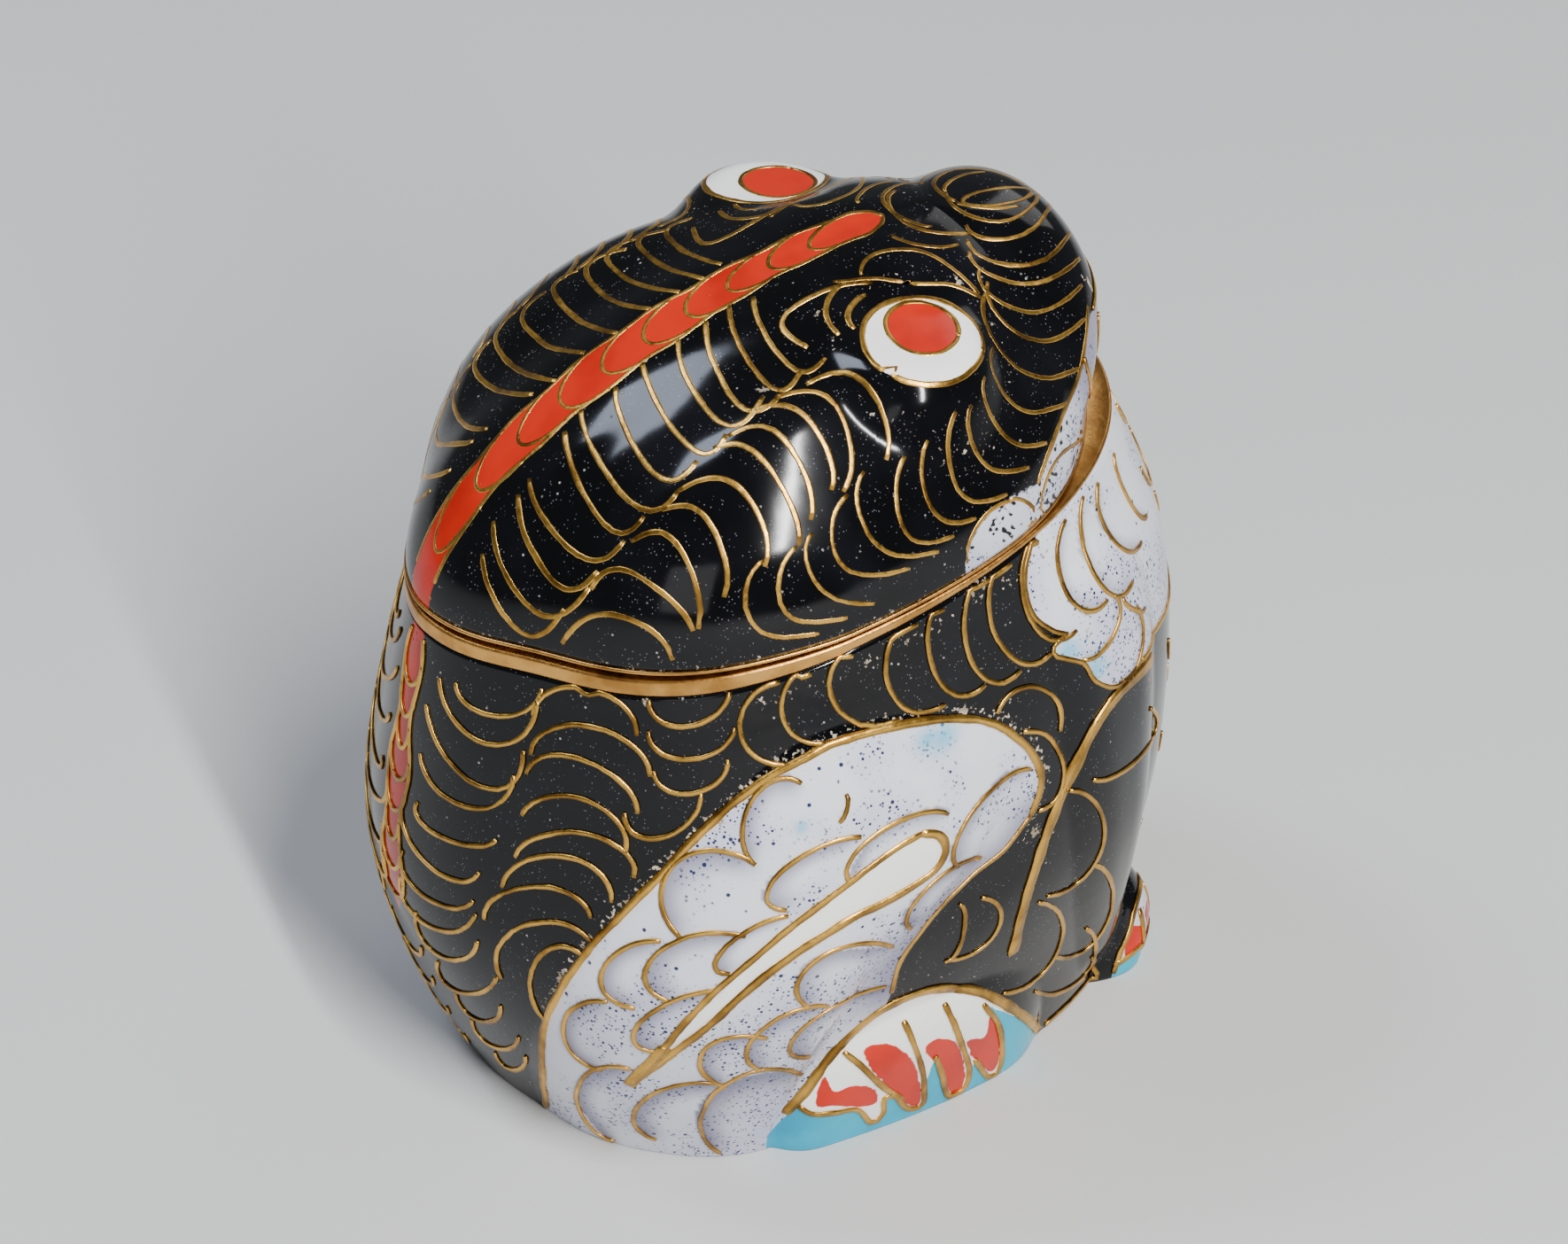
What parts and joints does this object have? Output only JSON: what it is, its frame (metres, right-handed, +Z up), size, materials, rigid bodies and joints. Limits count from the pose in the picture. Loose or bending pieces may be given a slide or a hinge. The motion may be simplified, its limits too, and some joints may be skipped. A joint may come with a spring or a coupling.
{
  "type": "lidded frog-shaped cloisonne enamel box",
  "caption": "Small hollow box in the form of a sitting frog, enamelled copper with wire cells, with a lift-off lid and gilt rims",
  "frame": {"origin": "middle of the underside's bounding box, on the table", "axes": "z up; the frog faces -y; its right side is -x"},
  "size_m": [0.0478, 0.0552, 0.0586],
  "materials": {
    "enamel": "glossy fired glass enamel on copper",
    "gilt_brass": "worn gilding"
  },
  "bodies": {
    "root": {"body": "enamel", "body_rim": "gilt_brass", "lid": "enamel", "lid_rim": "gilt_brass"}
  },
  "joints": []
}
